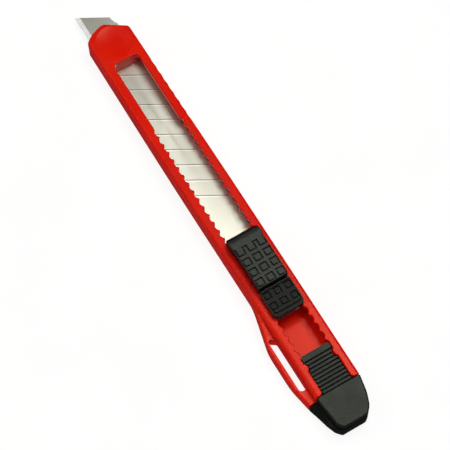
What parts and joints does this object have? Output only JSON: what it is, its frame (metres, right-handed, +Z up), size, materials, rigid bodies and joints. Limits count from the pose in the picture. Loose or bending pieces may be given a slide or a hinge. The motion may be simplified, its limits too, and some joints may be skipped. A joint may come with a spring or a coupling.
{
  "type": "utility knife",
  "caption": "Slim snap-off utility knife: plastic channel with toothed lips, sliding scored blade, thumb slider with lock, lanyard loop and pull-off end cap with snapping slit.",
  "frame": {"origin": "on the flat back of the case, on the channel's centre line, about half-way along the knife", "axes": "+X along the knife towards the blade's tip, +Y towards the cutting edge and the lanyard loop, +Z up from the flat back to the thumb pad"},
  "size_m": [0.1325, 0.0154, 0.0104],
  "materials": {
    "case_plastic": "glossy moulded red",
    "blade_steel": "ground",
    "spring_steel": "satin",
    "slider_plastic": "satin moulded black",
    "cap_plastic": "satin moulded black"
  },
  "bodies": {
    "case": {"case": "case_plastic"},
    "slide": {"blade_carrier": "slider_plastic", "thumb_pad": "slider_plastic", "blade": "blade_steel"},
    "lock": {"lock_spring": "spring_steel", "release_button": "slider_plastic"},
    "cap": {"end_cap": "cap_plastic"}
  },
  "joints": [
    {"name": "blade_slide", "type": "slide", "parent": "case", "child": "slide", "axis": [1, 0, 0], "range_m": [-0.01, 0.05]},
    {"name": "release_press", "type": "hinge", "parent": "slide", "child": "lock", "pos_m": [-0.0255, 0, 0.0038], "axis": [0, -1, 0], "range_deg": [0, 5.5], "stiffness_Nm_per_rad": 0.2, "springref_deg": -2.86},
    {"name": "cap_pull", "type": "slide", "parent": "case", "child": "cap", "axis": [-1, 0, 0], "range_m": [0, 0.03]}
  ]
}
